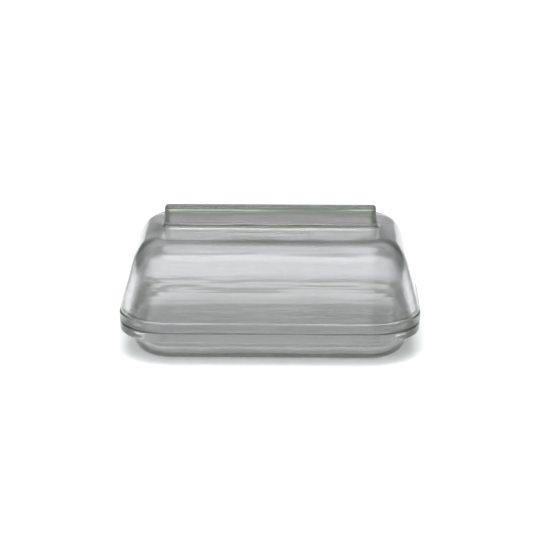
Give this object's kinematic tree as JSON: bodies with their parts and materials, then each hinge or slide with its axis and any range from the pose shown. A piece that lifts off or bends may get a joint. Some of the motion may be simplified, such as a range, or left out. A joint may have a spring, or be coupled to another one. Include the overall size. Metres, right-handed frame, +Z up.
{
  "type": "butter dish",
  "caption": "Clear pressed-glass covered butter dish: shallow rectangular base dish with a wide rim, and a domed lift-off lid with a full-length bar handle.",
  "frame": {"origin": "middle of the plane that the foot rests on", "axes": "+X along the dish and its bar handle, +Y towards the back, +Z up"},
  "size_m": [0.165, 0.1016, 0.0762],
  "materials": {
    "base_glass": "clear pressed soda-lime glass, fire polished",
    "lid_glass": "clear pressed soda-lime glass, fire polished"
  },
  "bodies": {
    "dish": {"base_dish": "base_glass"},
    "cover": {"lid": "lid_glass"}
  },
  "joints": [
    {"name": "lid_lift", "type": "slide", "parent": "dish", "child": "cover", "axis": [0, 0, 1], "range_m": [0, 0.08]}
  ]
}
